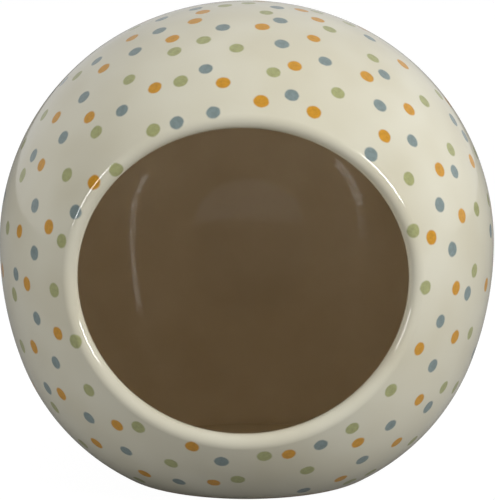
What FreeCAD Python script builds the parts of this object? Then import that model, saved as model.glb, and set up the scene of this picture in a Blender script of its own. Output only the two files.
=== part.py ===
import FreeCAD, Part
import math
import os
from enum import IntEnum

import Sketcher

# A ceramic hamster house: one slip-cast globe that stands on a flat foot, with an oval
# mouth in its front that the animal walks through. It is one casting with the same wall
# all over, so it is one body: a section turned about the upright axis, the mouth cut
# through its front, and the raw edges rounded as a wet sponge rounds them.
# Millimetres. The origin is the middle of the foot on the table, +Z is up and the mouth
# looks along -Y.

# The driving dimensions, with what each one is on the object. Angles are in degrees.
SIZES = {
    "globe_radius": (60.0, "widest radius of the globe"),
    "waist_height": (56.5, "height of the widest ring above the table"),
    "shoulder_inset": (1.8, "how far off the axis the shoulder's curve is centred"),
    "shoulder_sweep": (65.0, "angle that the shoulder's curve covers above the waist"),
    "belly_radius": (82.0, "radius of the belly's curve below the waist"),
    "haunch_height": (28.5, "height at which the belly starts to turn in to the foot"),
    "foot_radius": (30.5, "radius of the foot on the table, before its edge is rounded"),
    "foot_ring_width": (5.0, "width of the flat ring that the globe stands on"),
    "foot_edge_radius": (2.2, "rounding of the foot's outer edge"),
    "dish_depth": (1.5, "how far the underside is dished inside the ring"),
    "wall_thickness": (4.6, "wall of the casting, the same all over"),
    "floor_corner_radius": (8.0, "rounding inside, where the floor turns into the wall"),
    "mouth_centre_height": (56.0, "height of the middle of the mouth above the table"),
    "mouth_width": (77.0, "width of the mouth between its lips"),
    "mouth_height": (71.5, "height of the mouth between its lips"),
    "lip_radius": (2.2, "rounding of the mouth's outer and inner edge"),
}

# How near a point has to be to a place, and to the mouth's oval as a share of its size.
POINT_TOLERANCE = 0.02
OVAL_TOLERANCE = 0.001
SPOTS_ON_EDGE = 5


class Line(IntEnum):
    """A sketch's own two axes."""

    ACROSS = -1
    UPRIGHT = -2


class Spot(IntEnum):
    """The points of a line or an arc that a constraint can name."""

    START = 1
    END = 2
    CENTRE = 3


ORIGIN = (Line.ACROSS, Spot.START)


def make_sizes(document):
    """Put the driving dimensions in a sheet, one a row, with an alias for each."""
    sheet = document.addObject("Spreadsheet::Sheet", "Sizes")
    for row, (alias, (value, meaning)) in enumerate(SIZES.items(), start=1):
        sheet.set(f"A{row}", meaning)
        sheet.set(f"B{row}", str(value))
        sheet.setAlias(f"B{row}", alias)
    document.recompute()
    return sheet


def size(alias):
    """The number in the sheet, for the first guess at where a curve lies."""
    return float(sizes.get(alias))


def origin_plane(body, role):
    """One of the body's own base planes or axes, by its role."""
    return next(f for f in body.Origin.OriginFeatures if f.Role == role)


def add_sketch(body, name):
    """A sketch on the body's upright plane: its X is the object's X, its Y the height."""
    sketch = body.newObject("Sketcher::SketchObject", name)
    sketch.AttachmentSupport = [(origin_plane(body, "XZ_Plane"), "")]
    sketch.MapMode = "FlatFace"
    return sketch


def point(across, up):
    return FreeCAD.Vector(across, up, 0)


def add_arc(sketch, centre, radius, low, high):
    """A circular arc about a centre, anticlockwise between two angles in degrees."""
    circle = Part.Circle(point(*centre), FreeCAD.Vector(0, 0, 1), radius)
    arc = Part.ArcOfCircle(circle, math.radians(low), math.radians(high))
    return sketch.addGeometry(arc, False)


def add_line(sketch, start, end):
    return sketch.addGeometry(Part.LineSegment(point(*start), point(*end)), False)


def tie(sketch, kind, *parts):
    """A geometric constraint, such as coincident, tangent or horizontal."""
    sketch.addConstraint(Sketcher.Constraint(kind, *parts))


def measure(sketch, name, formula, kind, *parts):
    """A dimension of the sketch, given a name and bound to the sheet."""
    index = sketch.addConstraint(Sketcher.Constraint(kind, *parts))
    sketch.renameConstraint(index, name)
    sketch.setExpression(f"Constraints.{name}", formula)


def draw_section(sketch):
    """Half of the wall's section, from the axis outwards.

    Outside, four tangent arcs run from the top of the crown over the shoulder and the
    belly to the haunch, which turns in to the foot. A flat ring and a shallow dish make
    the underside. Inside, each arc has the same centre as the one outside it, and the
    wall is set once, at the waist and at the floor, so it is the same all the way round.
    Returns the floor's arc, whose outer end is the corner where it meets the wall.
    """
    waist = size("waist_height")
    radius = size("globe_radius")
    wall = size("wall_thickness")
    foot = size("foot_radius")
    ring_edge = foot - size("foot_ring_width")
    dish = size("dish_depth")

    # Where the arcs lie, worked out from the sizes. The constraints then hold them there.
    inset = size("shoulder_inset")
    shoulder_top = size("shoulder_sweep")
    shoulder_r = radius - inset
    crown_r = shoulder_r + inset / math.cos(math.radians(shoulder_top))
    crown_centre = (0, waist - inset * math.tan(math.radians(shoulder_top)))
    crown_top = crown_centre[1] + crown_r

    belly_r = size("belly_radius")
    haunch_top = size("haunch_height")
    belly_x = radius - belly_r
    belly_low = math.degrees(math.asin((waist - haunch_top) / belly_r))
    out_x = math.cos(math.radians(belly_low))
    out_z = -math.sin(math.radians(belly_low))
    joint = (belly_x + belly_r * out_x, haunch_top)
    chord = (joint[0] - foot, joint[1])
    haunch_r = (chord[0] ** 2 + chord[1] ** 2) / (2 * (chord[0] * out_x + chord[1] * out_z))
    haunch_centre = (joint[0] - haunch_r * out_x, joint[1] - haunch_r * out_z)
    haunch_low = math.degrees(math.atan2(-haunch_centre[1], foot - haunch_centre[0]))

    dish_r = (ring_edge ** 2 + dish ** 2) / (2 * dish)
    dish_centre = (0, dish - dish_r)
    dish_low = math.degrees(math.atan2(-dish_centre[1], ring_edge))

    # Outside, from the crown down to the dish.
    crown = add_arc(sketch, crown_centre, crown_r, shoulder_top, 90)
    shoulder = add_arc(sketch, (inset, waist), shoulder_r, 0, shoulder_top)
    belly = add_arc(sketch, (belly_x, waist), belly_r, -belly_low, 0)
    haunch = add_arc(sketch, haunch_centre, haunch_r, haunch_low, -belly_low)
    ring = add_line(sketch, (foot, 0), (ring_edge, 0))
    under = add_arc(sketch, dish_centre, dish_r, dish_low, 90)

    tie(sketch, "PointOnObject", crown, Spot.CENTRE, Line.UPRIGHT)
    tie(sketch, "PointOnObject", crown, Spot.END, Line.UPRIGHT)
    tie(sketch, "Tangent", crown, Spot.START, shoulder, Spot.END)
    tie(sketch, "Horizontal", shoulder, Spot.CENTRE, shoulder, Spot.START)
    tie(sketch, "Coincident", shoulder, Spot.START, belly, Spot.END)
    tie(sketch, "Horizontal", belly, Spot.CENTRE, belly, Spot.END)
    tie(sketch, "Tangent", belly, Spot.START, haunch, Spot.END)
    tie(sketch, "Coincident", haunch, Spot.START, ring, Spot.START)
    tie(sketch, "PointOnObject", ring, Spot.START, Line.ACROSS)
    tie(sketch, "PointOnObject", ring, Spot.END, Line.ACROSS)
    tie(sketch, "Coincident", ring, Spot.END, under, Spot.START)
    tie(sketch, "PointOnObject", under, Spot.CENTRE, Line.UPRIGHT)
    tie(sketch, "PointOnObject", under, Spot.END, Line.UPRIGHT)

    measure(sketch, "waist_height", "Sizes.waist_height",
            "DistanceY", *ORIGIN, shoulder, Spot.START, waist)
    measure(sketch, "globe_radius", "Sizes.globe_radius",
            "DistanceX", *ORIGIN, shoulder, Spot.START, radius)
    measure(sketch, "shoulder_inset", "Sizes.shoulder_inset",
            "DistanceX", *ORIGIN, shoulder, Spot.CENTRE, inset)
    measure(sketch, "shoulder_sweep", "Sizes.shoulder_sweep * 1 deg",
            "Angle", shoulder, math.radians(shoulder_top))
    measure(sketch, "belly_radius", "Sizes.belly_radius",
            "Radius", belly, belly_r)
    measure(sketch, "haunch_height", "Sizes.haunch_height",
            "DistanceY", *ORIGIN, haunch, Spot.END, haunch_top)
    measure(sketch, "foot_radius", "Sizes.foot_radius",
            "DistanceX", *ORIGIN, ring, Spot.START, foot)
    measure(sketch, "foot_ring_width", "Sizes.foot_ring_width",
            "DistanceX", ring, Spot.END, ring, Spot.START, foot - ring_edge)
    measure(sketch, "dish_depth", "Sizes.dish_depth",
            "DistanceY", *ORIGIN, under, Spot.END, dish)

    # Inside, from the floor up to the crown, about the same centres.
    floor = add_arc(sketch, dish_centre, dish_r + wall, dish_low, 90)
    haunch_in = add_arc(sketch, haunch_centre, haunch_r - wall, haunch_low, -belly_low)
    belly_in = add_arc(sketch, (belly_x, waist), belly_r - wall, -belly_low, 0)
    shoulder_in = add_arc(sketch, (inset, waist), shoulder_r - wall, 0, shoulder_top)
    crown_in = add_arc(sketch, crown_centre, crown_r - wall, shoulder_top, 90)
    for inner, outer in ((floor, under), (haunch_in, haunch), (belly_in, belly),
                         (shoulder_in, shoulder), (crown_in, crown)):
        tie(sketch, "Coincident", inner, Spot.CENTRE, outer, Spot.CENTRE)
    tie(sketch, "PointOnObject", floor, Spot.END, Line.UPRIGHT)
    tie(sketch, "Coincident", floor, Spot.START, haunch_in, Spot.START)
    tie(sketch, "Tangent", haunch_in, Spot.END, belly_in, Spot.START)
    tie(sketch, "Coincident", belly_in, Spot.END, shoulder_in, Spot.START)
    tie(sketch, "Horizontal", shoulder_in, Spot.CENTRE, shoulder_in, Spot.START)
    tie(sketch, "Tangent", shoulder_in, Spot.END, crown_in, Spot.START)
    tie(sketch, "PointOnObject", crown_in, Spot.END, Line.UPRIGHT)
    measure(sketch, "side_wall", "Sizes.wall_thickness",
            "DistanceX", shoulder_in, Spot.START, shoulder, Spot.START, wall)
    measure(sketch, "floor_wall", "Sizes.wall_thickness",
            "DistanceY", under, Spot.END, floor, Spot.END, wall)

    # On the axis, the section closes through the floor and through the crown.
    floor_close = add_line(sketch, (0, dish), (0, dish + wall))
    crown_close = add_line(sketch, (0, crown_top - wall), (0, crown_top))
    tie(sketch, "Coincident", floor_close, Spot.START, under, Spot.END)
    tie(sketch, "Coincident", floor_close, Spot.END, floor, Spot.END)
    tie(sketch, "Coincident", crown_close, Spot.START, crown_in, Spot.END)
    tie(sketch, "Coincident", crown_close, Spot.END, crown, Spot.END)
    return floor


def draw_mouth(sketch):
    """The mouth's oval, in a left and a right half that meet on the upright axis."""
    centre = point(0, size("mouth_centre_height"))
    half_width = size("mouth_width") / 2
    half_height = size("mouth_height") / 2
    wide = half_width >= half_height
    side = point(half_width, 0)
    top = point(0, half_height)
    long_end, short_end = (side, top) if wide else (top, side)
    oval = Part.Ellipse(centre + long_end, centre + short_end, centre)
    bottom_angle = -math.pi / 2 if wide else -math.pi
    for half, start in (("right", bottom_angle), ("left", bottom_angle + math.pi)):
        arc = sketch.addGeometry(Part.ArcOfEllipse(oval, start, start + math.pi), False)
        sketch.exposeInternalGeometry(arc)
        long_axis, short_axis = arc + 1, arc + 2
        across, upright = (long_axis, short_axis) if wide else (short_axis, long_axis)
        tie(sketch, "PointOnObject", arc, Spot.CENTRE, Line.UPRIGHT)
        tie(sketch, "PointOnObject", arc, Spot.START, Line.UPRIGHT)
        tie(sketch, "PointOnObject", arc, Spot.END, Line.UPRIGHT)
        tie(sketch, "Horizontal", across)
        measure(sketch, f"{half}_centre_height", "Sizes.mouth_centre_height",
                "DistanceY", *ORIGIN, arc, Spot.CENTRE, centre.y)
        measure(sketch, f"{half}_width", "Sizes.mouth_width",
                "Distance", across, 2 * half_width)
        measure(sketch, f"{half}_height", "Sizes.mouth_height",
                "Distance", upright, 2 * half_height)


def edge_names(shape, wanted):
    """The names of the shape's edges that a test picks out."""
    return [f"Edge{i}" for i, edge in enumerate(shape.Edges, start=1) if wanted(edge)]


def spots_on(edge):
    """A few points along an edge, from its start to its end."""
    first, last = edge.ParameterRange
    steps = SPOTS_ON_EDGE - 1
    return [edge.valueAt(first + (last - first) * i / steps) for i in range(SPOTS_ON_EDGE)]


def is_ring_at(edge, radius, height):
    """Whether an edge runs round the upright axis at this radius and height."""
    return all(
        abs(math.hypot(p.x, p.y) - radius) < POINT_TOLERANCE and abs(p.z - height) < POINT_TOLERANCE
        for p in spots_on(edge)
    )


def on_mouth(edge):
    """Whether an edge is part of the mouth's outline, on the outer or the inner side.

    Its points are then in front of the axis and on the oval. An edge that runs straight
    through the wall has them too, but all on one place of the oval.
    """
    half_width = size("mouth_width") / 2
    half_height = size("mouth_height") / 2
    middle = size("mouth_centre_height")
    spots = spots_on(edge)
    on_oval = all(
        p.y < 0
        and abs(math.hypot(p.x / half_width, (p.z - middle) / half_height) - 1) < OVAL_TOLERANCE
        for p in spots
    )
    first = spots[0]
    goes_round = any(math.hypot(p.x - first.x, p.z - first.z) > POINT_TOLERANCE for p in spots)
    return on_oval and goes_round


def round_edges(body, base, name, alias, wanted):
    """A fillet on the picked edges of the feature before it, its radius from the sheet."""
    fillet = body.newObject("PartDesign::Fillet", name)
    fillet.Base = (base, edge_names(base.Shape, wanted))
    fillet.Radius = size(alias)
    fillet.setExpression("Radius", f"Sizes.{alias}")
    body.Document.recompute()
    return fillet


def make_shell(document):
    """The whole house: the turned wall, the mouth and the rounded edges."""
    body = document.addObject("PartDesign::Body", "HouseShell")
    body.Label = "house_shell"

    section = add_sketch(body, "WallSection")
    floor = draw_section(section)
    wall = body.newObject("PartDesign::Revolution", "TurnedWall")
    wall.Profile = section
    wall.ReferenceAxis = (section, ["V_Axis"])
    wall.Angle = 360.0
    document.recompute()

    mouth_oval = add_sketch(body, "MouthOval")
    draw_mouth(mouth_oval)
    mouth = body.newObject("PartDesign::Pocket", "Mouth")
    mouth.Profile = mouth_oval
    mouth.Type = "ThroughAll"
    mouth.Reversed = True
    document.recompute()

    lip = round_edges(body, mouth, "Lip", "lip_radius", on_mouth)
    foot_edge = round_edges(
        body, lip, "FootEdge", "foot_edge_radius",
        lambda edge: is_ring_at(edge, size("foot_radius"), 0),
    )
    corner = section.getPoint(floor, Spot.START)
    floor_corner = round_edges(
        body, foot_edge, "FloorCorner", "floor_corner_radius",
        lambda edge: is_ring_at(edge, corner.x, corner.y),
    )
    body.Tip = floor_corner
    return body


def check(document, parts):
    """Stop if a feature failed or a part isn't one valid solid."""
    for item in document.Objects:
        if "Invalid" in item.State or "Error" in item.State:
            raise RuntimeError(f"{item.Name} failed: {item.State}")
    for body in parts:
        if body.Shape.isNull() or not body.Shape.isValid() or len(body.Shape.Solids) != 1:
            raise RuntimeError(f"{body.Label} is not one valid solid")


doc = FreeCAD.newDocument("HamsterHouse")
sizes = make_sizes(doc)
parts = [make_shell(doc)]
doc.recompute()
check(doc, parts)

os.makedirs("parts", exist_ok=True)
for body in parts:
    body.Shape.exportStep(f"parts/{body.Label}.step")
    box = body.Shape.BoundBox
    volume = body.Shape.Volume
    print(f"{body.Label}: {box.XLength:.2f} x {box.YLength:.2f} x {box.ZLength:.2f} mm,"
          f" {volume / 1000:.1f} cm3, {len(body.Shape.Faces)} faces")
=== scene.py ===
# %% [markdown]
# A ceramic hamster house
#
# The real house is one slip-cast globe of pale clay. It stands on a flat foot, and a wide
# oval mouth is cut through its front. Outside it is printed with small dots and covered
# with a clear cream glaze. Inside it has a pale tan glaze, which looks brown because so
# little light gets in. The foot's ring is bare clay.
#
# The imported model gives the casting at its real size. This lesson dresses it: a fine mesh
# of the same form, the print, the three finishes, and a plain studio around it.

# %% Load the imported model
import math

import bpy
import numpy as np
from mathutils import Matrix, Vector
from mathutils.geometry import delaunay_2d_cdt


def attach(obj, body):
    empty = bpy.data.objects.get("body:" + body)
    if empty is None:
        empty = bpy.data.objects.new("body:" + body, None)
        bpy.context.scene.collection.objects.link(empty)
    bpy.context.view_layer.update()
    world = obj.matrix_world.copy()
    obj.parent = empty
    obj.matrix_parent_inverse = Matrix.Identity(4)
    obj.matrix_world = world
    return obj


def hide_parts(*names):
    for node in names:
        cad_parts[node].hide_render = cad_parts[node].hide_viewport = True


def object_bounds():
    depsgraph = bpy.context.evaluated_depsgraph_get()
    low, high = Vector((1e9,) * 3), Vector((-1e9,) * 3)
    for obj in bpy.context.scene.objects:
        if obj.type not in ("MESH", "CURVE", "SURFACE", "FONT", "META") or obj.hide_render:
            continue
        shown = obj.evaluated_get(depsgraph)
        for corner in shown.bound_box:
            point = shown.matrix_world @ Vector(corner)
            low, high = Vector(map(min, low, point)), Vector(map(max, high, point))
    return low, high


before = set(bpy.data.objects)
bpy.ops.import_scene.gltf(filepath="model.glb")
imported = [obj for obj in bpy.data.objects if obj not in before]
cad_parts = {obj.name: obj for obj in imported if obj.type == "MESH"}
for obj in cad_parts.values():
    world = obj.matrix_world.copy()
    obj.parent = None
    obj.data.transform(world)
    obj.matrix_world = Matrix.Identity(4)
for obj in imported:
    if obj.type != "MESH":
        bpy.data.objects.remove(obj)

MM = 0.001
cad_low, cad_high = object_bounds()
print("the casting measures", [round(side / MM, 1) for side in cad_high - cad_low], "mm")

# %% [markdown]
# The wall's section
#
# A potter sees the casting as a section turned on a wheel. Outside, four round arcs run
# from the crown to the foot, each tangent to the next. The inner skin has the same centres
# and lies one wall deeper, so the wall is even. The sizes below are the casting's own, in
# millimetres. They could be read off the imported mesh, but its flat facets would show in a
# gloss glaze, so each arc is worked out exactly, with its normal.

# %% Sizes of the casting
globe_radius = cad_high.x / MM
waist_height = 56.5
shoulder_inset = 1.8
shoulder_sweep = math.radians(65)
belly_radius = 82.0
haunch_height = 28.5
foot_radius = 30.5
ring_width = 5.0
foot_rounding = 2.2
dish_depth = 1.5
wall = 4.6
floor_rounding = 8.0
mouth_height = 56.0
mouth_half_width = 77.0 / 2
mouth_half_height = 71.5 / 2
lip_rounding = 2.2

shoulder_radius = globe_radius - shoulder_inset
crown_radius = shoulder_radius + shoulder_inset / math.cos(shoulder_sweep)
crown_centre = (0.0, waist_height - shoulder_inset * math.tan(shoulder_sweep))
belly_centre = (globe_radius - belly_radius, waist_height)
belly_sweep = math.asin((waist_height - haunch_height) / belly_radius)
joint = (belly_centre[0] + belly_radius * math.cos(belly_sweep), haunch_height)
chord = (joint[0] - foot_radius, joint[1])
haunch_radius = (chord[0] ** 2 + chord[1] ** 2) / (
    2 * (chord[0] * math.cos(belly_sweep) - chord[1] * math.sin(belly_sweep))
)
haunch_centre = (
    joint[0] - haunch_radius * math.cos(belly_sweep),
    joint[1] + haunch_radius * math.sin(belly_sweep),
)
ring_inside = foot_radius - ring_width
dish_radius = (ring_inside ** 2 + dish_depth ** 2) / (2 * dish_depth)
dish_centre = (0.0, dish_depth - dish_radius)
print(f"the haunch's arc has a radius of {haunch_radius:.1f} mm")

# %% Arcs of the skin, from the crown down
QUARTER = math.pi / 2
skin_arcs = [
    (crown_centre, crown_radius, QUARTER, shoulder_sweep),
    ((shoulder_inset, waist_height), shoulder_radius, shoulder_sweep, 0.0),
    (belly_centre, belly_radius, 0.0, -belly_sweep),
    (haunch_centre, haunch_radius, -belly_sweep, -QUARTER),
]


def skin_at(height, depth):
    """Radius and normal, in the section, of the surface that lies depth under the skin."""
    for centre, radius, high, low in skin_arcs:
        reach = radius - depth
        angle = math.asin(max(-1.0, min(1.0, (height - centre[1]) / reach)))
        if low <= angle <= high:
            return centre[0] + reach * math.cos(angle), (math.cos(angle), math.sin(angle))
    raise ValueError(f"no part of the skin is {height:.1f} mm high")


print("the crown stands", round(crown_centre[1] + crown_radius, 2), "mm high")

# %% [markdown]
# Rows of the section
#
# Each stretch of the section becomes a run of rows, about one cell apart. A row is a
# radius, a height, and the normal that points out of the clay. Where two stretches meet
# in a true edge, as at the ground inner edge of the foot's ring, the row keeps a normal
# for each side, and the edge stays crisp. The cells are finer outside, where each of them
# will know which printed dot it is nearest to.

# %% Rows along an arc and along the flat ring
CELL_OUTSIDE = 1.25
CELL_INSIDE = 2.0


def arc_rows(centre, radius, start, end, step, clay_inside=True):
    """Rows along an arc. clay_inside says that the clay is on the side of its centre."""
    count = max(2, math.ceil(abs(end - start) * radius / step) + 1)
    side = 1 if clay_inside else -1
    angles = np.linspace(start, end, count)
    across, up = np.cos(angles), np.sin(angles)
    return np.column_stack([
        centre[0] + radius * across, centre[1] + radius * up, side * across, side * up,
    ])


def flat_rows(outer, inner):
    """Rows along the flat ring, whose normal points straight down."""
    count = max(2, math.ceil((outer - inner) / CELL_OUTSIDE) + 1)
    radii = np.linspace(outer, inner, count)
    return np.column_stack([radii, np.zeros(count), np.zeros(count), -np.ones(count)])


def join_rows(stretches):
    """One run of rows: radius, height, the normal before each row and the one after it."""
    rows = [(*r, r[2], r[3]) for r in stretches[0]]
    for stretch in stretches[1:]:
        rows[-1] = (*rows[-1][:4], stretch[0][2], stretch[0][3])
        rows.extend((*r, r[2], r[3]) for r in stretch[1:])
    table = np.array(rows)
    table[np.abs(table[:, 0]) < 1e-6, 0] = 0.0
    return table


# %% The outer rows, from the crown to the middle of the underside
FILLET_STEP = 0.5
ball_height = foot_rounding
ball_reach = haunch_radius - foot_rounding
ball_radius = haunch_centre[0] + math.sqrt(ball_reach ** 2 - (ball_height - haunch_centre[1]) ** 2)
haunch_end = math.atan2(ball_height - haunch_centre[1], ball_radius - haunch_centre[0])
dish_edge = math.atan2(-dish_centre[1], ring_inside)
outer_rows = join_rows(
    [arc_rows(*arc, CELL_OUTSIDE) for arc in skin_arcs[:3]]
    + [
        arc_rows(haunch_centre, haunch_radius, -belly_sweep, haunch_end, CELL_OUTSIDE),
        arc_rows((ball_radius, ball_height), foot_rounding, haunch_end, -QUARTER, FILLET_STEP),
        flat_rows(ball_radius, ring_inside),
        arc_rows(dish_centre, dish_radius, dish_edge, QUARTER, CELL_INSIDE, clay_inside=False),
    ]
)
print("outside:", len(outer_rows), "rows")

# %% The inner rows, from the crown to the middle of the floor
hollow = haunch_radius - wall
floor_radius = dish_radius + wall
nest_reach = hollow - floor_rounding
nest_rise = floor_radius + floor_rounding
apart = math.dist(haunch_centre, dish_centre)
along = (nest_rise ** 2 - nest_reach ** 2 + apart ** 2) / (2 * apart)
aside = math.sqrt(nest_rise ** 2 - along ** 2)
toward = ((haunch_centre[0] - dish_centre[0]) / apart, (haunch_centre[1] - dish_centre[1]) / apart)
corner_centre = (
    dish_centre[0] + along * toward[0] + aside * toward[1],
    dish_centre[1] + along * toward[1] - aside * toward[0],
)
wall_end = math.atan2(corner_centre[1] - haunch_centre[1], corner_centre[0] - haunch_centre[0])
floor_start = math.atan2(corner_centre[1] - dish_centre[1], corner_centre[0] - dish_centre[0])
turn_up = (corner_centre, floor_rounding, wall_end, floor_start - math.pi)
inner_rows = join_rows(
    [arc_rows(c, r - wall, a, b, CELL_INSIDE, clay_inside=False) for c, r, a, b in skin_arcs[:3]]
    + [
        arc_rows(haunch_centre, hollow, -belly_sweep, wall_end, CELL_INSIDE, clay_inside=False),
        arc_rows(*turn_up, CELL_INSIDE, clay_inside=False),
        arc_rows(dish_centre, floor_radius, floor_start, QUARTER, CELL_INSIDE),
    ]
)
print("inside:", len(inner_rows), "rows")

# %% [markdown]
# The lip
#
# On the real casting the mouth is cut while the clay is leather hard, and a wet sponge
# takes the edges off. A ball that rolls in the corner between the skin and the cut leaves
# just that rounding. So the lip is computed that way: for each place on the oval the
# ball's centre is found, and the lip follows the ball from the skin to the cut. A Bevel
# modifier on a boolean cut would also round it, but with uneven facets.

# %% The rolling ball that rounds the lip
LIP_COLUMNS = 288
OUTER_STEPS = 14
INNER_STEPS = 8


def turn_between(first, last, steps):
    """Unit vectors that turn evenly from the first to the last."""
    first, last = np.array(first), np.array(last)
    angle = math.acos(np.clip(first @ last, -1, 1))
    shares = np.linspace(0, 1, steps + 1)[:, None]
    return (np.sin((1 - shares) * angle) * first + np.sin(shares * angle) * last) / math.sin(angle)


def ball_on_lip(turn, depth):
    """Centre of the ball at a place on the oval, with the skin's and the cut's normals."""
    across = np.array([mouth_half_width * math.cos(turn), mouth_half_height * math.sin(turn)])
    cut = np.array([math.cos(turn) / mouth_half_width, math.sin(turn) / mouth_half_height])
    cut /= np.linalg.norm(cut)
    x, z = across + lip_rounding * cut + (0, mouth_height)
    reach, (out, up) = skin_at(z, depth)
    y = -math.sqrt(reach ** 2 - x ** 2)
    return np.array([x, y, z]), (x / reach * out, y / reach * out, up), (-cut[0], 0.0, -cut[1])


def lip_column(turn):
    """Points and normals across the lip, from the outer skin to the inner skin."""
    centre, skin, cut = ball_on_lip(turn, lip_rounding)
    outer = turn_between(skin, cut, OUTER_STEPS)
    deep_centre, deep_skin, cut = ball_on_lip(turn, wall - lip_rounding)
    inner = turn_between(cut, [-n for n in deep_skin], INNER_STEPS)
    points = np.vstack([centre + lip_rounding * outer, deep_centre + lip_rounding * inner])
    return points, np.vstack([outer, inner])


lip = [lip_column(2 * math.pi * i / LIP_COLUMNS) for i in range(LIP_COLUMNS)]
lip_points = np.array([points for points, normals in lip])
lip_normals = np.array([normals for points, normals in lip])
print("the lip has", lip_points.shape[0], "columns of", lip_points.shape[1], "points")

# %% [markdown]
# The skins
#
# Each skin is a lathe grid about the upright axis, with the mouth's loop let into it. In
# the grid's own flat map, of angle across and length down, the cells round the mouth are
# dropped, and a constrained Delaunay triangulation joins what is left to the loop. The
# normals come from the section, so the joint can't be seen in the gloss.
#
# Each vertex also notes how far in from the lip's crest it lies, as its lip depth, which
# is below zero outside. The finishes use it to change from cream to tan, and the print to
# keep off the lip.

# %% A mesh that grows by corners
MAP_RADIUS = 55.0


class ShellMesh:
    """Vertices with their normals and lip depths, and faces with a normal for each corner."""

    def __init__(self):
        self.points, self.normals, self.lip_depths = [], [], []
        self.faces, self.corners, self.finish = [], [], []

    def add_points(self, points, normals, lip_depths):
        first = len(self.points)
        self.points.extend(map(tuple, points))
        self.normals.extend(map(tuple, normals))
        self.lip_depths.extend(lip_depths)
        return list(range(first, len(self.points)))

    def add_face(self, face, finish, corners=None):
        """Adds a face that faces out of the clay, whichever way round it was given."""
        corners = corners or [self.normals[i] for i in face]
        a, b, c = (np.array(self.points[i]) for i in (face[0], face[1], face[-1]))
        if np.dot(np.cross(b - a, c - a), np.sum(corners, axis=0)) < 0:
            face, corners = face[::-1], corners[::-1]
        self.faces.append(tuple(face))
        self.corners.extend(corners)
        self.finish.append(finish)


def turned(radius, height, turn):
    return (radius * math.sin(turn), -radius * math.cos(turn), height)


# %% A skin with the mouth's loop let into it
LEAST_SHARE = 0.55


def window_round(loop_map, lengths, column_width):
    """The grid's rows and columns that frame the loop, two cells away from it."""
    half = math.ceil(loop_map[:, 0].max() / column_width) + 2
    first = int(np.searchsorted(lengths, loop_map[:, 1].min())) - 3
    last = int(np.searchsorted(lengths, loop_map[:, 1].max())) + 3
    return first, last, half


def inside_loop(point, loop_map):
    """Whether a point of the flat map lies inside the loop, by counting crossings."""
    x, y = point
    a, b = loop_map, np.roll(loop_map, -1, axis=0)
    crosses = (a[:, 1] > y) != (b[:, 1] > y)
    at = a[:, 0] + (y - a[:, 1]) / np.where(crosses, b[:, 1] - a[:, 1], 1) * (b[:, 0] - a[:, 0])
    return bool(np.count_nonzero(crosses & (x < at)) % 2)


def add_skin(shell, rows, loop, column_count, finish_of_row):
    """Adds a skin to the shell. loop lists the vertices of the lip that it joins."""
    lengths = np.concatenate([[0], np.cumsum(np.hypot(*np.diff(rows[:, :2], axis=0).T))])
    falling = int(np.argmin(rows[:, 1])) + 1
    loop_points = np.array([shell.points[i] for i in loop])
    loop_map = np.column_stack([
        np.arctan2(loop_points[:, 0], -loop_points[:, 1]) * MAP_RADIUS,
        np.interp(-loop_points[:, 2], -rows[:falling, 1], lengths[:falling]),
    ])
    column_width = 2 * math.pi * MAP_RADIUS / column_count
    window = window_round(loop_map, lengths, column_width)
    first, last, half = window
    edge_depth = shell.lip_depths[loop[0]]

    def normal(row, turn, side):
        out, up = rows[row, 2:4] if side == "before" else rows[row, 4:6]
        return (out * math.sin(turn), -out * math.cos(turn), up)

    def column_turn(column):
        return 2 * math.pi * column / column_count

    columns = range(-column_count // 2, column_count // 2)
    index = {}
    for row, (radius, height) in enumerate(rows[:, :2]):
        for column in columns:
            if radius == 0 and column != columns[0]:
                index[row, column] = index[row, columns[0]]
                continue
            place = (column * column_width, lengths[row])
            gap = np.hypot(*(loop_map - place).T).min()
            if first < row < last and abs(column) < half:
                if gap < LEAST_SHARE * column_width or inside_loop(place, loop_map):
                    continue
            turn = column_turn(column)
            depth = edge_depth + math.copysign(gap, edge_depth)
            index[row, column] = shell.add_points(
                [turned(radius, height, turn)], [normal(row, turn, "after")], [depth],
            )[0]

    for row in range(len(rows) - 1):
        for column in columns:
            if first <= row < last and -half <= column < half:
                continue
            beside = column + 1 if column + 1 in columns else columns[0]
            spots = [(row, column), (row, beside), (row + 1, beside), (row + 1, column)]
            sides = ["after", "after", "before", "before"]
            turns = [column_turn(column), column_turn(column + 1)]
            turns += turns[::-1]
            face, corners = [], []
            for spot, side, turn in zip(spots, sides, turns):
                if index[spot] not in face:
                    face.append(index[spot])
                    corners.append(normal(spot[0], turn, side))
            shell.add_face(face, finish_of_row(row), corners)

    flat = {
        (row, column): Vector((column * column_width, lengths[row]))
        for row in range(first, last + 1)
        for column in range(-half, half + 1)
        if (row, column) in index
    }
    fill_window(shell, index, flat, loop, loop_map, window, finish_of_row(first))


def fill_window(shell, index, flat, loop, loop_map, window, finish):
    """Joins the grid's window to the loop with triangles, in the skin's flat map."""
    first, last, half = window
    number = {spot: i for i, spot in enumerate(flat)}
    frame_spots = (
        [(first, c) for c in range(-half, half)]
        + [(r, half) for r in range(first, last)]
        + [(last, c) for c in range(half, -half, -1)]
        + [(r, -half) for r in range(last, first, -1)]
    )
    ring = [number[spot] for spot in frame_spots]
    start = len(flat)
    edges = list(zip(ring, ring[1:] + ring[:1]))
    edges += [(start + i, start + (i + 1) % len(loop)) for i in range(len(loop))]
    vertices = [index[spot] for spot in flat] + list(loop)
    places = list(flat.values()) + [Vector(p) for p in loop_map]
    points, _, triangles, origin, _, _ = delaunay_2d_cdt(places, edges, [], 0, 1e-7)
    for triangle in triangles:
        middle = sum((points[i] for i in triangle), Vector((0, 0))) / len(triangle)
        if not inside_loop(middle, loop_map):
            shell.add_face([vertices[origin[i][0]] for i in triangle], finish)


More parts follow.
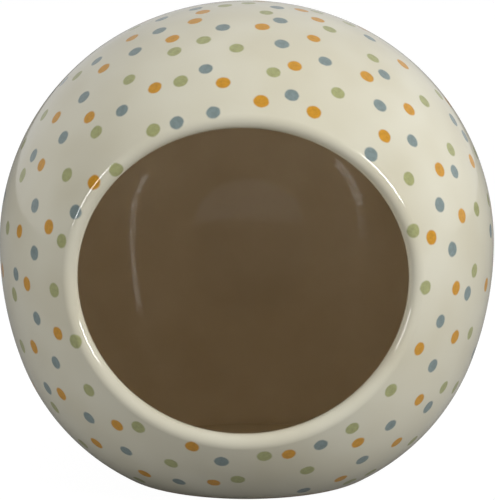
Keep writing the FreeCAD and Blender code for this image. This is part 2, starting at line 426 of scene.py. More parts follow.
# %% Put the lip and the two skins together
OUTSIDE, INSIDE, FOOT = range(3)
COLUMNS_OUTSIDE = 304
COLUMNS_INSIDE = 176
TAN_STRIPS = 3
TAN_FROM = OUTER_STEPS + 1 + INNER_STEPS - TAN_STRIPS

shell = ShellMesh()
steps = np.linalg.norm(np.diff(lip_points, axis=1), axis=2)
along_lip = np.concatenate([np.zeros((LIP_COLUMNS, 1)), np.cumsum(steps, axis=1)], axis=1)
lip_depths = along_lip - along_lip[:, [OUTER_STEPS]]
lip_index = [shell.add_points(*column) for column in zip(lip_points, lip_normals, lip_depths)]
for i, column in enumerate(lip_index):
    beside = lip_index[(i + 1) % LIP_COLUMNS]
    for j in range(len(column) - 1):
        face = [column[j], beside[j], beside[j + 1], column[j + 1]]
        shell.add_face(face, INSIDE if j >= TAN_FROM else OUTSIDE)

ring_rows = np.flatnonzero((outer_rows[:, 1] == 0) & (outer_rows[:, 0] > 0))
add_skin(
    shell, outer_rows, [column[0] for column in lip_index], COLUMNS_OUTSIDE,
    lambda row: FOOT if ring_rows[0] <= row < ring_rows[-1] else OUTSIDE,
)
add_skin(
    shell, inner_rows, [column[-1] for column in lip_index], COLUMNS_INSIDE,
    lambda row: INSIDE,
)
print("the shell has", len(shell.points), "vertices and", len(shell.faces), "faces")

# %% Make the mesh
mesh = bpy.data.meshes.new("house")
mesh.from_pydata([tuple(c * MM for c in p) for p in shell.points], [], shell.faces)
mesh.polygons.foreach_set("use_smooth", [True] * len(shell.faces))
for name, kind, domain, values in (
    ("lip_depth", "FLOAT", "POINT", np.array(shell.lip_depths) * MM),
    ("finish", "INT", "FACE", shell.finish),
):
    mesh.attributes.new(name, kind, domain).data.foreach_set("value", values)
house = bpy.data.objects.new("house", mesh)
bpy.context.scene.collection.objects.link(house)
mesh.normals_split_custom_set(shell.corners)

uses = np.bincount([loop.edge_index for loop in mesh.loops])
print("faces on an edge: at least", uses.min(), "and at most", uses.max())

# %% [markdown]
# The printed dots
#
# The maker prints the dots as small transfers, paper carriers of coloured dots that are
# wetted and slid onto the biscuit-fired clay before it is glazed. One repeat of the print
# has twelve dots. Ten transfers go round the mouth, each laid by hand, so each sits a
# little differently, and where they don't meet well the gaps are filled with single dots.
# Blender could do the same with an image, or by modelling each dot as a thin disc. Here
# the dots stay part of the skin: the print is kept as places on a sphere, Geometry Nodes
# lay them on the casting, and each face learns which dot it is nearest to. The shader then
# draws a round dot there, under the same glaze as the rest.

# %% One repeat of the print, in degrees across and up
BLUE, ORANGE, GREEN = range(3)
repeat_across = 28.5
repeat_up = 39.5
repeat_dots = [
    (BLUE, 0, 0), (ORANGE, 4, -7), (ORANGE, 6.5, 6), (GREEN, 6.5, 14.5),
    (BLUE, 10.5, -2), (BLUE, 16.5, 8), (GREEN, 18, -9.5), (ORANGE, 18, 2),
    (ORANGE, 17, 21), (GREEN, 21.5, 10.5), (BLUE, -0.5, 24.5), (GREEN, 6.5, -12),
]
lowest_up, highest_up = -21, 33


def over_pole(across, up):
    """The point of a unit sphere's cap, round +Z, that lies this far along +X and -Y."""
    reach, heading = math.radians(math.hypot(across, up)), math.atan2(-up, across)
    return Vector((
        math.sin(reach) * math.cos(heading), math.sin(reach) * math.sin(heading), math.cos(reach),
    ))


transfer = [
    (kind, over_pole(across, up + shift))
    for shift in (-repeat_up, 0, repeat_up)
    for kind, across, up in repeat_dots
    if lowest_up <= up + shift <= highest_up
]
print("a transfer carries", len(transfer), "dots")

# %% [markdown]
# Where each transfer lies is told as on a globe whose pole is the middle of the mouth: an
# angle round the mouth, from the right and anticlockwise, an angle out from its middle,
# and how far the transfer is turned on the clay. Behind the first round, the same repeat
# goes on in three more rounds to the back of the house, which hardly anyone sees.
#
# The repeat above and the two lists below weren't chosen by hand. Scratch programs read
# where the dots show in the photograph and fitted the repeat and its places to them, and
# the numbers here are theirs, rounded to half and whole degrees.

# %% Where the transfers and the single dots lie
print_centre = Vector((0, 0, waist_height * MM))
pole_up, pole_left = math.radians(4.5), math.radians(1.5)
pole = Vector((-math.sin(pole_left), -math.cos(pole_left) * math.cos(pole_up), math.sin(pole_up)))
pole.normalize()
right = (-pole).cross(Vector((0, 0, 1))).normalized()
above = pole.cross(right)

first_round = [
    (3, 56, -4), (35, 55, 6), (67, 58, 17), (135, 62, -19), (166, 56, -7), (197, 56, 0),
    (227, 56, 11), (255, 60, 33), (301, 62, -17), (331, 58, -11),
]
first_out = 57
single_dots = {
    BLUE: [
        (40, 42), (95, 66), (99, 37), (100, 50), (102, 83), (111, 72), (113, 37), (118, 66), (128, 74),
        (285, 65),
    ],
    ORANGE: [
        (82, 40), (95, 45), (102, 72), (108, 65), (116, 49), (118, 75), (127, 67), (285, 47), (294, 66),
    ],
    GREEN: [
        (95, 82), (100, 61), (108, 48), (108, 59), (122, 56), (122, 38), (134, 75), (142, 37), (155, 78),
        (257, 67), (278, 46), (288, 55), (295, 72), (300, 74), (327, 77), (342, 87), (246, 70), (47, 91),
    ],
}


def on_globe(turn, out):
    """The direction, and the directions across and up there, in that globe's angles."""
    turn, out = math.radians(turn), math.radians(out)
    outward = math.cos(turn) * right + math.sin(turn) * above
    across = math.cos(turn) * above - math.sin(turn) * right
    direction = math.cos(out) * pole + math.sin(out) * outward
    return direction, across, math.cos(out) * outward - math.sin(out) * pole


FURTHER_ROUNDS = 3
transfers = list(first_round)
for row in range(1, FURTHER_ROUNDS + 1):
    out = first_out + row * repeat_up
    count = max(1, round(360 * math.sin(math.radians(out)) / repeat_across))
    transfers += [(360 * i / count, out, 0) for i in range(count)]
print(len(transfers), "transfers and", sum(map(len, single_dots.values())), "single dots")

# %% The print as clouds of points for the tree to read
def cloud(name, places, **attributes):
    """An object of loose points, with named attributes that each hold a number or a vector."""
    points = bpy.data.meshes.new(name)
    points.from_pydata([tuple(p) for p in places], [], [])
    for attribute, values in attributes.items():
        vector = isinstance(values[0], Vector)
        data = points.attributes.new(attribute, "FLOAT_VECTOR" if vector else "FLOAT", "POINT").data
        data.foreach_set("vector" if vector else "value", np.array(values, float).ravel())
    made = bpy.data.objects.new(name, points)
    bpy.context.scene.collection.objects.link(made)
    return made


laid, across_laid = [], []
for turn, out, twist in transfers:
    direction, across, up = on_globe(turn, out)
    laid.append(direction)
    across_laid.append(math.cos(math.radians(twist)) * across + math.sin(math.radians(twist)) * up)

laid_order = [float(i + 1) for i in range(len(laid))]
laid_cloud = cloud("laid transfers", laid, across=across_laid, order=laid_order)
single = [(kind, on_globe(*place)[0]) for kind, places in single_dots.items() for place in places]
transfer_cloud, single_cloud = (
    cloud(name, [place for _, place in dots], kind=[float(kind) for kind, _ in dots])
    for name, dots in (("transfer", transfer), ("single dots", single))
)

# %% [markdown]
# The tree that lays the print
#
# The tree puts a copy of the transfer on each laid point, turned to lie along the globe,
# and realizes the copies as loose dots. A ray goes from each dot to the middle of the
# house. Where it meets the outer skin, the dot is there, and where it goes in through the
# mouth, or meets the lip or the foot, the dot is dropped. Two transfers overlap a little,
# so a dot that comes too near one of an earlier transfer is left out, as a decorator
# would lift it off. Last, each face of the casting stores the place and colour of its
# nearest dot. Reading them from the face, and not from its corners, keeps two dots from
# mixing where their territories meet.

# %% Helpers for node trees
def feed(tree, socket, value):
    """Gives an input another node's output, or a plain value."""
    if isinstance(value, bpy.types.NodeSocket):
        tree.links.new(value, socket)
    else:
        socket.default_value = value


def add_node(tree, kind, inputs=(), **settings):
    """A node with its settings, and its inputs by name or number."""
    node = tree.nodes.new(kind)
    for name, value in settings.items():
        setattr(node, name, value)
    for key, value in dict(inputs).items():
        feed(tree, node.inputs[key], value)
    return node


def add_sockets(tree, way, *sockets):
    """Named sockets of a group: each is a name, a kind and, for an input, its usual value."""
    for name, kind, *usual in sockets:
        made = tree.interface.new_socket(name=name, in_out=way, socket_type="NodeSocket" + kind)
        if usual:
            made.default_value = usual[0]


def sum_up(tree, kind, operation, *values, output=0):
    """The result of a math node, of numbers, vectors or yes and no."""
    return add_node(tree, kind, dict(enumerate(values)), operation=operation).outputs[output]


def math_of(tree, operation, *values):
    return sum_up(tree, "ShaderNodeMath", operation, *values)


# %% Build the tree
LAYING = "GeometryNodeTree"
NAMED = "GeometryNodeInputNamedAttribute"
laying = bpy.data.node_groups.new("lay the print", LAYING)
add_sockets(
    laying, "INPUT",
    ("House", "Geometry"), ("Transfer", "Object"), ("Laid transfers", "Object"),
    ("Single dots", "Object"), ("Print centre", "Vector"), ("Start of rays", "Float", 0.2),
    ("Least gap", "Float", 0.005), ("Clear of the lip", "Float", 0.0023),
    ("Clear of the table", "Float", 0.002), ("Size spread", "Float", 0.05), ("Seed", "Int", 3),
    ("Glazed outside", "Material"), ("Glazed inside", "Material"), ("Bare foot", "Material"),
)
add_sockets(laying, "OUTPUT", ("House", "Geometry"))
given = laying.nodes.new("NodeGroupInput").outputs


def points_of(given_object):
    """The points of a cloud, with their attributes."""
    info = add_node(laying, "GeometryNodeObjectInfo", {"Object": given_object})
    return add_node(laying, "GeometryNodeMeshToPoints", {"Mesh": info.outputs["Geometry"]}).outputs["Points"]


def attribute(name, kind="FLOAT"):
    return add_node(laying, NAMED, {"Name": name}, data_type=kind).outputs["Attribute"]


def vector_sum(operation, *values):
    return sum_up(laying, "ShaderNodeVectorMath", operation, *values)


def compare(operation, first, second):
    inputs = {"A": first, "B": second}
    return add_node(laying, "FunctionNodeCompare", inputs, operation=operation).outputs["Result"]


def both(operation, *values):
    return sum_up(laying, "FunctionNodeBooleanMath", operation, *values)


# %% Copy the transfer to each place, and add the single dots
here = laying.nodes.new("GeometryNodeInputPosition").outputs["Position"]
turned_to = add_node(
    laying, "FunctionNodeAxesToRotation",
    {"Primary Axis": here, "Secondary Axis": attribute("across", "FLOAT_VECTOR")},
    primary_axis="Z", secondary_axis="X",
)
turned_first = add_node(
    laying, "GeometryNodeCaptureAttribute", {"Geometry": points_of(given["Laid transfers"])},
)
turned_first.capture_items.new("ROTATION", "Turn")
feed(laying, turned_first.inputs["Turn"], turned_to.outputs["Rotation"])
middle = laying.nodes.new("FunctionNodeInputVector").outputs["Vector"]
at_middle = add_node(
    laying, "GeometryNodeSetPosition", {"Geometry": turned_first.outputs["Geometry"], "Position": middle},
)
copies = add_node(
    laying, "GeometryNodeInstanceOnPoints",
    {
        "Points": at_middle.outputs["Geometry"], "Instance": points_of(given["Transfer"]),
        "Rotation": turned_first.outputs["Turn"],
    },
)
loose = add_node(laying, "GeometryNodeRealizeInstances", {"Geometry": copies.outputs["Instances"]})
dots = add_node(laying, "GeometryNodeJoinGeometry")
feed(laying, dots.inputs["Geometry"], points_of(given["Single dots"]))
feed(laying, dots.inputs["Geometry"], loose.outputs["Geometry"])

# %% Drop each dot onto the casting
far_out = vector_sum("MULTIPLY_ADD", here, given["Start of rays"], given["Print centre"])
around = add_node(
    laying, "GeometryNodeSetPosition", {"Geometry": dots.outputs["Geometry"], "Position": far_out},
)
ray = add_node(
    laying, "GeometryNodeRaycast",
    {
        "Target Geometry": given["House"], "Attribute": attribute("lip_depth"),
        "Ray Direction": vector_sum("SUBTRACT", given["Print centre"], here),
        "Ray Length": given["Start of rays"],
    },
)
hit_height = add_node(laying, "ShaderNodeSeparateXYZ", {0: ray.outputs["Hit Position"]}).outputs["Z"]
too_low = compare("LESS_THAN", hit_height, given["Clear of the table"])
lip_edge = math_of(laying, "MULTIPLY", given["Clear of the lip"], -1.0)
on_lip = compare("GREATER_THAN", ray.outputs["Attribute"], lip_edge)
missed = both("NOT", ray.outputs["Is Hit"])
unprinted = both("OR", both("OR", too_low, on_lip), missed)
kept = add_node(
    laying, "GeometryNodeDeleteGeometry", {"Geometry": around.outputs["Geometry"], "Selection": unprinted},
    domain="POINT",
)
dots_down = add_node(
    laying, "GeometryNodeSetPosition",
    {"Geometry": kept.outputs["Geometry"], "Position": ray.outputs["Hit Position"]},
)

# %% Leave out what comes too near an earlier dot, in two sweeps
SWEEPS = 2


def at_nearest(value, nearest, kind):
    """What the nearest other dot holds."""
    inputs = {"Value": value, "Index": nearest.outputs["Index"]}
    held = add_node(laying, "GeometryNodeFieldAtIndex", inputs, data_type=kind, domain="POINT")
    return held.outputs["Value"]


dots = dots_down.outputs["Geometry"]
for sweep in range(SWEEPS):
    nearest = add_node(laying, "GeometryNodeIndexOfNearest", {"Position": here})
    gap = sum_up(
        laying, "ShaderNodeVectorMath", "DISTANCE", here, at_nearest(here, nearest, "FLOAT_VECTOR"),
        output="Value",
    )
    order = attribute("order")
    too_near = compare("LESS_THAN", gap, given["Least gap"])
    later = compare("LESS_THAN", at_nearest(order, nearest, "FLOAT"), order)
    dots = add_node(
        laying, "GeometryNodeDeleteGeometry",
        {"Geometry": dots, "Selection": both("AND", too_near, later)}, domain="POINT",
    ).outputs["Geometry"]

# %% Tell each face of its nearest dot
spread = given["Size spread"]
random_size = add_node(
    laying, "FunctionNodeRandomValue",
    {
        "Min": math_of(laying, "SUBTRACT", 1.0, spread), "Max": math_of(laying, "ADD", 1.0, spread),
        "Seed": given["Seed"],
    },
    data_type="FLOAT",
)
dots = add_node(
    laying, "GeometryNodeStoreNamedAttribute",
    {"Geometry": dots, "Name": "size", "Value": random_size.outputs["Value"]},
    data_type="FLOAT", domain="POINT",
).outputs["Geometry"]
closest = add_node(
    laying, "GeometryNodeSampleNearest", {"Geometry": dots, "Sample Position": here}, domain="POINT",
)
printed = given["House"]
for name, value, kind in (
    ("dot_centre", here, "FLOAT_VECTOR"), ("dot_kind", attribute("kind"), "FLOAT"),
    ("dot_size", attribute("size"), "FLOAT"),
):
    sample = add_node(
        laying, "GeometryNodeSampleIndex",
        {"Geometry": dots, "Value": value, "Index": closest.outputs["Index"]}, data_type=kind, domain="POINT",
    )
    printed = add_node(
        laying, "GeometryNodeStoreNamedAttribute",
        {"Geometry": printed, "Name": name, "Value": sample.outputs["Value"]}, data_type=kind, domain="FACE",
    ).outputs["Geometry"]

# %% End the tree with its finishes
printed = add_node(laying, "GeometryNodeRealizeInstances", {"Geometry": printed}).outputs["Geometry"]
finish = attribute("finish", "INT")
for number, name in ((OUTSIDE, "Glazed outside"), (INSIDE, "Glazed inside"), (FOOT, "Bare foot")):
    inputs = {"Geometry": printed, "Material": given[name]}
    if number != OUTSIDE:
        inputs["Selection"] = add_node(
            laying, "FunctionNodeCompare", {"A": finish, "B": number}, data_type="INT", operation="EQUAL",
        ).outputs["Result"]
    printed = add_node(laying, "GeometryNodeSetMaterial", inputs).outputs["Geometry"]
feed(laying, laying.nodes.new("NodeGroupOutput").inputs["House"], printed)
print("the tree has", len(laying.nodes), "nodes")

# %% [markdown]
# The finishes
#
# A glaze is a thin coat of glass. It makes the surface smooth and glossy but never quite
# even: it swells in long soft waves, it has a fine skin like an orange's, and it breaks
# off in a wandering line where it was wiped away. Three finishes share such effects, the
# cream outside, the tan inside and the bare foot, so each effect is a node group with
# named inputs, and each finish uses it with its own values. All of them read the object's
# own coordinates, so the pattern is part of the clay from every side.

# %% Small steps that the effects are made of
def group_of(name, inputs, outputs):
    """A new shader group, with its inputs by name and the node that takes its outputs."""
    tree = bpy.data.node_groups.new(name, "ShaderNodeTree")
    add_sockets(tree, "INPUT", *inputs)
    add_sockets(tree, "OUTPUT", *outputs)
    return tree, tree.nodes.new("NodeGroupInput").outputs, tree.nodes.new("NodeGroupOutput").inputs


def noise_of(tree, place, size, detail=1.0):
    """Smooth noise from 0 to 1, whose swells are about this many metres wide."""
    inputs = {"Vector": place, "Scale": math_of(tree, "DIVIDE", 1.0, size), "Detail": detail}
    return add_node(tree, "ShaderNodeTexNoise", inputs).outputs["Fac"]


def range_of(tree, value, low, high, to_low=0.0, to_high=1.0, shape="LINEAR"):
    """The value, moved from one range to another and kept within it."""
    inputs = {"Value": value, "From Min": low, "From Max": high, "To Min": to_low, "To Max": to_high}
    return add_node(tree, "ShaderNodeMapRange", inputs, interpolation_type=shape).outputs["Result"]


def mix_of(tree, share, first, second, blend="MIX"):
    """Two colours mixed, from all of the first at 0 to all of the second at 1."""
    inputs = {0: share, 6: first, 7: second}
    return add_node(tree, "ShaderNodeMix", inputs, data_type="RGBA", blend_type=blend).outputs[2]


def use_group(tree, group, **inputs):
    """A group placed in a tree. Its inputs are given by name, with _ for a space."""
    named = {name.replace("_", " "): value for name, value in inputs.items()}
    return add_node(tree, "ShaderNodeGroup", named, node_tree=group).outputs


# %% The wandering edge of a dot or a wiped glaze
edge_group, edge, edge_out = group_of(
    "wandering edge",
    [("Place", "Vector"), ("Distance", "Float"), ("Edge", "Float", 0.0017), ("Wander", "Float", 0.0001),
     ("Wander size", "Float", 0.0015), ("Softness", "Float", 0.0003)],
    [("Mask", "Float")],
)
NOISE_GAIN = 4.0  # noise keeps within about a quarter of its middle, 0.5
swell = math_of(edge_group, "SUBTRACT", noise_of(edge_group, edge["Place"], edge["Wander size"]), 0.5)
swell = math_of(edge_group, "MULTIPLY", swell, math_of(edge_group, "MULTIPLY", edge["Wander"], NOISE_GAIN))
half_soft = math_of(edge_group, "MULTIPLY", edge["Softness"], 0.5)
feed(edge_group, edge_out["Mask"], range_of(
    edge_group, math_of(edge_group, "ADD", edge["Distance"], swell),
    math_of(edge_group, "ADD", edge["Edge"], half_soft),
    math_of(edge_group, "SUBTRACT", edge["Edge"], half_soft), shape="SMOOTHSTEP",
))

# %% The uneven skin of a fired glaze
skin_group, skin, skin_out = group_of(
    "glaze skin",
    [("Place", "Vector"), ("Wave size", "Float", 0.016), ("Wave depth", "Float", 0.00003),
     ("Peel size", "Float", 0.0014), ("Peel depth", "Float", 0.0000015)],
    [("Height", "Float"), ("Thickness", "Float")],
)
wave = noise_of(skin_group, skin["Place"], skin["Wave size"])
peel = noise_of(skin_group, skin["Place"], skin["Peel size"], detail=2.0)
wave_height = math_of(skin_group, "MULTIPLY", wave, skin["Wave depth"])
skin_height = math_of(skin_group, "MULTIPLY_ADD", peel, skin["Peel depth"], wave_height)
feed(skin_group, skin_out["Height"], skin_height)
feed(skin_group, skin_out["Thickness"], range_of(skin_group, wave, 0.3, 0.7))

# %% Specks of iron and grit in clay and glaze
speck_group, speck, speck_out = group_of(
    "specks",
    [("Place", "Vector"), ("Spacing", "Float", 0.01), ("Radius", "Float", 0.0003), ("Share", "Float", 0.3)],
    [("Mask", "Float")],
)
cells = add_node(
    speck_group, "ShaderNodeTexVoronoi",
    {"Vector": speck["Place"], "Scale": math_of(speck_group, "DIVIDE", 1.0, speck["Spacing"])},
)
DARK_CORE = 0.6
away = math_of(speck_group, "MULTIPLY", cells.outputs["Distance"], speck["Spacing"])
core = math_of(speck_group, "MULTIPLY", speck["Radius"], DARK_CORE)
dark = range_of(speck_group, away, speck["Radius"], core)
drawn = add_node(speck_group, "ShaderNodeSeparateColor", {"Color": cells.outputs["Color"]}).outputs["Red"]
kept_speck = math_of(speck_group, "LESS_THAN", drawn, speck["Share"])
feed(speck_group, speck_out["Mask"], math_of(speck_group, "MULTIPLY", dark, kept_speck))

# %% [markdown]
# The tan glaze also shows in the cream finish, where the two meet inside the lip, and the
# bare clay where the cream stops above the foot. So both are groups too, and the line
# between two finishes can wander without a step in colour.

# %% Tan glaze and bare clay
TAN_THIN = (0.745, 0.645, 0.49, 1)
TAN_THICK = (0.69, 0.585, 0.425, 1)
IRON = (0.07, 0.045, 0.025, 1)
CLAY_PALE = (0.66, 0.58, 0.47, 1)
CLAY_DARK = (0.55, 0.46, 0.36, 1)

POOL_SIZE = 0.02
tan_group, tan, tan_out = group_of("tan glaze", [("Place", "Vector")], [("Colour", "Color")])
pooled = noise_of(tan_group, tan["Place"], POOL_SIZE, detail=3.0)
tan_colour = mix_of(tan_group, range_of(tan_group, pooled, 0.35, 0.65), TAN_THIN, TAN_THICK)
iron = use_group(tan_group, speck_group, Place=tan["Place"], Spacing=0.017, Radius=0.00045, Share=0.4)["Mask"]
feed(tan_group, tan_out["Colour"], mix_of(tan_group, iron, tan_colour, IRON))

GRAIN_SIZE, GRAIN_DEPTH = 0.0006, 0.00004
clay_group, clay, clay_out = group_of(
    "bare clay", [("Place", "Vector")], [("Colour", "Color"), ("Height", "Float")],
)
grain = noise_of(clay_group, clay["Place"], GRAIN_SIZE, detail=4.0)
clay_colour = mix_of(clay_group, range_of(clay_group, grain, 0.3, 0.7), CLAY_PALE, CLAY_DARK)
grit = use_group(clay_group, speck_group, Place=clay["Place"], Spacing=0.002, Radius=0.0002)["Mask"]
feed(clay_group, clay_out["Colour"], mix_of(clay_group, grit, clay_colour, IRON))
feed(clay_group, clay_out["Height"], math_of(clay_group, "MULTIPLY", grain, GRAIN_DEPTH))

# %% [markdown]
# The cream outside
#
# The dots come first: a point belongs to a dot if it is nearer to the dot's centre than
# its radius, give or take a little where the colour has crept. The glaze over it all is a
# Principled BSDF with a low roughness. Its Fresnel reflection makes the dots pale near the
# outline of the globe, as on the real one.

# %% A material to fill
def new_finish(name):
    """A material, its tree, its Principled BSDF and the place on the object."""
    material = bpy.data.materials.new(name)
    material.use_nodes = True
    tree = material.node_tree
    place = tree.nodes.new("ShaderNodeTexCoord").outputs["Object"]
    return material, tree, tree.nodes["Principled BSDF"].inputs, place


def stored(tree, name, output="Fac"):
    """A named attribute of the mesh."""
    return add_node(tree, "ShaderNodeAttribute", attribute_name=name).outputs[output]


def bump_of(tree, height):
    """The normal over a height that is given in metres."""
    return add_node(tree, "ShaderNodeBump", {"Height": height, "Distance": 1.0}).outputs["Normal"]


# %% The dots' colours
DOT_RADIUS = 0.0017
INKS = {BLUE: (0.228, 0.294, 0.294, 1), ORANGE: (0.655, 0.309, 0.02, 1), GREEN: (0.407, 0.42, 0.189, 1)}
WORN = (0.8, 0.8, 0.8, 1)
MOTTLE_SIZE = 0.0009

cream, cream_tree, cream_in, place = new_finish("cream glaze")
ink = cream_tree.nodes.new("ShaderNodeValToRGB")
ink.color_ramp.interpolation = "CONSTANT"
stops = ink.color_ramp.elements
stops.new(1 / len(INKS))
for kind, colour in INKS.items():
    stops[kind].position = kind / len(INKS)
    stops[kind].color = colour
middle_of_kind = math_of(cream_tree, "ADD", stored(cream_tree, "dot_kind"), 0.5)
feed(cream_tree, ink.inputs["Fac"], math_of(cream_tree, "DIVIDE", middle_of_kind, float(len(INKS))))
mottle = range_of(cream_tree, noise_of(cream_tree, place, MOTTLE_SIZE, detail=2.0), 0.3, 0.75)
ink_colour = mix_of(cream_tree, mottle, ink.outputs["Color"], WORN, blend="MULTIPLY")

to_centre = sum_up(
    cream_tree, "ShaderNodeVectorMath", "DISTANCE", place, stored(cream_tree, "dot_centre", "Vector"),
    output="Value",
)
dot = use_group(
    cream_tree, edge_group, Place=place, Distance=to_centre,
    Wander=0.00007, Wander_size=0.0014, Softness=0.0005,
    Edge=math_of(cream_tree, "MULTIPLY", stored(cream_tree, "dot_size"), DOT_RADIUS),
)["Mask"]

# %% The cream round the dots, and its two ends
CREAM_THIN = (0.72, 0.69, 0.56, 1)
CREAM_THICK = (0.665, 0.625, 0.485, 1)
TAN_STARTS = 0.0027
CLAY_ENDS = 0.0009
FLECK_COVER, INK_COVER = 0.5, 0.97
INK_RISE = 0.000004

skin_of_cream = use_group(cream_tree, skin_group, Place=place)
cream_colour = mix_of(cream_tree, skin_of_cream["Thickness"], CREAM_THIN, CREAM_THICK)
flecks = use_group(cream_tree, speck_group, Place=place, Spacing=0.02, Radius=0.00025)["Mask"]
cream_colour = mix_of(cream_tree, math_of(cream_tree, "MULTIPLY", flecks, FLECK_COVER), cream_colour, IRON)
cream_colour = mix_of(cream_tree, math_of(cream_tree, "MULTIPLY", dot, INK_COVER), cream_colour, ink_colour)

outward = math_of(cream_tree, "MULTIPLY", stored(cream_tree, "lip_depth"), -1.0)
to_tan = use_group(
    cream_tree, edge_group, Place=place, Distance=outward, Edge=-TAN_STARTS,
    Wander=0.0002, Wander_size=0.004, Softness=0.0006,
)["Mask"]
cream_colour = mix_of(
    cream_tree, to_tan, cream_colour, use_group(cream_tree, tan_group, Place=place)["Colour"],
)
height_of_place = add_node(cream_tree, "ShaderNodeSeparateXYZ", {0: place}).outputs["Z"]
across_table = sum_up(cream_tree, "ShaderNodeVectorMath", "MULTIPLY", place, (1.0, 1.0, 0.0))
off_axis = sum_up(cream_tree, "ShaderNodeVectorMath", "LENGTH", across_table, output="Value")
into_dish = math_of(cream_tree, "SUBTRACT", ring_inside * MM - CLAY_ENDS, off_axis)
to_clay = use_group(
    cream_tree, edge_group, Place=place, Edge=CLAY_ENDS,
    Distance=math_of(cream_tree, "MAXIMUM", height_of_place, into_dish),
    Wander=0.00025, Wander_size=0.003, Softness=0.0002,
)["Mask"]
clay_of_cream = use_group(cream_tree, clay_group, Place=place)
feed(cream_tree, cream_in["Base Color"], mix_of(cream_tree, to_clay, cream_colour, clay_of_cream["Colour"]))

# %% The gloss and the relief of the cream
THIN_ROUGHNESS, THICK_ROUGHNESS = 0.13, 0.08
CLAY_ROUGHER_BY = 0.7
gloss = range_of(cream_tree, skin_of_cream["Thickness"], 0.0, 1.0, THIN_ROUGHNESS, THICK_ROUGHNESS)
feed(cream_tree, cream_in["Roughness"], math_of(cream_tree, "MULTIPLY_ADD", to_clay, CLAY_ROUGHER_BY, gloss))
height = math_of(cream_tree, "MULTIPLY_ADD", clay_of_cream["Height"], to_clay, skin_of_cream["Height"])
height = math_of(cream_tree, "MULTIPLY_ADD", dot, INK_RISE, height)
feed(cream_tree, cream_in["Normal"], bump_of(cream_tree, height))

# %% [markdown]
# The tan inside and the bare foot
#
# Inside, the glaze was poured in and poured out again, so it is a little thicker and its
# waves are longer. The foot's ring was wiped clean, or the house would have stuck to the
# kiln's shelf. It shows the fired clay, matt and faintly gritty.

# %% The tan glaze inside
POURED_THIN, POURED_THICK = 0.045, 0.03
tan_finish, tree, inside_in, place = new_finish("tan glaze inside")
skin_of_tan = use_group(
    tree, skin_group, Place=place, Wave_size=0.022, Wave_depth=0.00008, Peel_depth=0.000002,
)
feed(tree, inside_in["Base Color"], use_group(tree, tan_group, Place=place)["Colour"])
gloss = range_of(tree, skin_of_tan["Thickness"], 0.0, 1.0, POURED_THIN, POURED_THICK)
feed(tree, inside_in["Roughness"], gloss)
feed(tree, inside_in["Normal"], bump_of(tree, skin_of_tan["Height"]))

# %% The bare foot
foot_finish, tree, foot_in, place = new_finish("bare foot")
RUB_SIZE = 0.006
CLAY_ROUGHNESS, RUBBED_ROUGHNESS = 0.8, 0.65
clay_of_foot = use_group(tree, clay_group, Place=place)
rubbed = noise_of(tree, place, RUB_SIZE, detail=2.0)
feed(tree, foot_in["Base Color"], clay_of_foot["Colour"])
feed(tree, foot_in["Roughness"], range_of(tree, rubbed, 0.3, 0.7, CLAY_ROUGHNESS, RUBBED_ROUGHNESS))
feed(tree, foot_in["Normal"], bump_of(tree, clay_of_foot["Height"]))

# %% [markdown]
# Laying the print
#
# The tree is used as a modifier. Its inputs are set before the house is first evaluated,
# and the result is taken as a plain mesh, so the house that is kept has no modifier. Its
# corners keep the normals of the exact section.

# %% Lay the print and keep the plain mesh
laid_print = house.modifiers.new("print", "NODES")
laid_print.node_group = laying
chosen = {
    "Transfer": transfer_cloud, "Laid transfers": laid_cloud, "Single dots": single_cloud,
    "Print centre": print_centre, "Glazed outside": cream, "Glazed inside": tan_finish,
    "Bare foot": foot_finish,
}
for socket in laying.interface.items_tree:
    if socket.name in chosen:
        laid_print[socket.identifier] = chosen[socket.name]

graph = bpy.context.evaluated_depsgraph_get()
plain = bpy.data.meshes.new_from_object(
    house.evaluated_get(graph), preserve_all_data_layers=True, depsgraph=graph,
)
house.modifiers.remove(laid_print)
house.data = plain
for helper in (transfer_cloud, laid_cloud, single_cloud):
    bpy.data.objects.remove(helper)

centres = np.zeros(len(plain.polygons) * 3)
plain.attributes["dot_centre"].data.foreach_get("vector", centres)
print("dots on the house:", len(np.unique(centres.reshape(-1, 3).round(6), axis=0)))
print("finishes:", [material.name for material in plain.materials])
print("exact normals:", plain.has_custom_normals)

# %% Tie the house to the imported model
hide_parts("house_shell")
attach(house, "root")

# %% [markdown]
# The camera
#
# The house is seen from the front and a little above, from far enough away that its round
# outline is hardly foreshortened. A long lens does that. The angles and the distance were
# found by matching the outline and the mouth.

# %% Place the camera
turn_to_camera, height_angle = math.radians(1.17), math.radians(11.25)
camera_distance, lens_length = 0.9, 266.4
aim = Vector((0.0002, -0.0004, 0.05457))
level = math.cos(height_angle)
back = Vector((
    math.sin(turn_to_camera) * level, -math.cos(turn_to_camera) * level, math.sin(height_angle),
))
camera = bpy.data.objects.new("camera", bpy.data.cameras.new("camera"))
bpy.context.scene.collection.objects.link(camera)
camera.data.lens = lens_length
camera.location = aim + back * camera_distance
camera.rotation_euler = (-back).to_track_quat("-Z", "Y").to_euler()
bpy.context.scene.camera = camera

# %% [markdown]
# The studio
#
# A lip as round as this one shows where each lamp stands. Two soft lamps, at the left and
# the right of the camera, each make two highlights on it: one above, and one across the
# mouth from that, where the lip turns in. Each also leaves a thin streak inside, after two
# reflections. On the globe itself their reflections would fall in the mouth, so none
# shows. A third, broad lamp overhead is soft fill for the crown, and isn't reflected.
#
# Behind the house the room is pale, and the glaze picks that up along the outline. The
# side where the camera stands is dim, or its reflection would fill the mouth with haze.
# The floor glows a little, for the camera alone, so that it comes to white and still
# keeps the house's shadow.

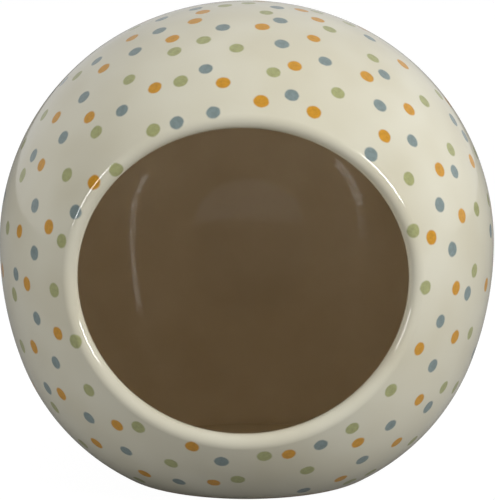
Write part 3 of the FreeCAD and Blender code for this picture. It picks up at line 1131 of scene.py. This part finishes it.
# %% Lamps: the way to each, its width and height in metres, and its power in watts
LAMP_DISTANCE = 0.9
LAMPS = {
    "right lamp": ((0.75, 0.27, 0.60), 0.16, 0.34, 5.3),
    "left lamp": ((-0.80, 0.13, 0.58), 0.10, 0.34, 2.5),
    "top lamp": ((0.10, 0.85, 0.50), 0.60, 0.30, 2.3),
}
to_room = (-back).to_track_quat("-Z", "Y")


def softbox(name, toward, width, height, power):
    """A lamp that faces the house. toward says how far right, up and near the camera it is."""
    light = bpy.data.lights.new(name, "AREA")
    light.shape = "RECTANGLE"
    light.size, light.size_y = width, height
    light.energy = power
    lamp = bpy.data.objects.new(name, light)
    bpy.context.scene.collection.objects.link(lamp)
    direction = to_room @ Vector(toward).normalized()
    lamp.location = aim + direction * LAMP_DISTANCE
    lamp.rotation_euler = direction.to_track_quat("Z", "Y").to_euler()
    lamp.visible_camera = False
    lamp.visible_glossy = name != "top lamp"
    return lamp


lamps = [softbox(name, *settings) for name, settings in LAMPS.items()]
print("lamps:", [lamp.name for lamp in lamps])

# %% The room round the house
WHITE = (1, 1, 1, 1)
ROOM_FRONT, ROOM_BACK = 0.04, 0.58
DIM_UNTIL, PALE_FROM = -0.1, 0.5
room = bpy.data.worlds.new("studio")
bpy.context.scene.world = room
room.use_nodes = True
tree = room.node_tree
room_in = tree.nodes["Background"].inputs
looking = tree.nodes.new("ShaderNodeTexCoord").outputs["Generated"]
backward = add_node(tree, "ShaderNodeSeparateXYZ", {0: looking}).outputs["Y"]
strength = range_of(tree, backward, DIM_UNTIL, PALE_FROM, ROOM_FRONT, ROOM_BACK, shape="SMOOTHSTEP")
seen = tree.nodes.new("ShaderNodeLightPath").outputs["Is Camera Ray"]
feed(tree, room_in["Strength"], math_of(tree, "MAXIMUM", strength, seen))
room_in["Color"].default_value = WHITE

# %% The floor
FLOOR_SIZE = 6.0
FLOOR_WHITE = 0.34
SHADOW_SHARE = 0.2
GLOW = 1.22
PAPER_ROUGHNESS = 0.9
bpy.ops.mesh.primitive_plane_add(size=FLOOR_SIZE)
floor = bpy.context.object
floor.name = "floor"
paper = bpy.data.materials.new("white paper")
paper.use_nodes = True
tree = paper.node_tree
matt = tree.nodes["Principled BSDF"]
matt.inputs["Base Color"].default_value = (FLOOR_WHITE, FLOOR_WHITE, FLOOR_WHITE, 1)
matt.inputs["Roughness"].default_value = PAPER_ROUGHNESS
glow = add_node(tree, "ShaderNodeEmission", {"Strength": GLOW}).outputs["Emission"]
seen = tree.nodes.new("ShaderNodeLightPath").outputs["Is Camera Ray"]
share = math_of(tree, "MULTIPLY", seen, 1 - SHADOW_SHARE)
both_looks = add_node(tree, "ShaderNodeMixShader", {0: share, 1: matt.outputs["BSDF"], 2: glow})
feed(tree, tree.nodes["Material Output"].inputs["Surface"], both_looks.outputs["Shader"])
floor.data.materials.append(paper)
bpy.context.scene.view_settings.view_transform = "Standard"
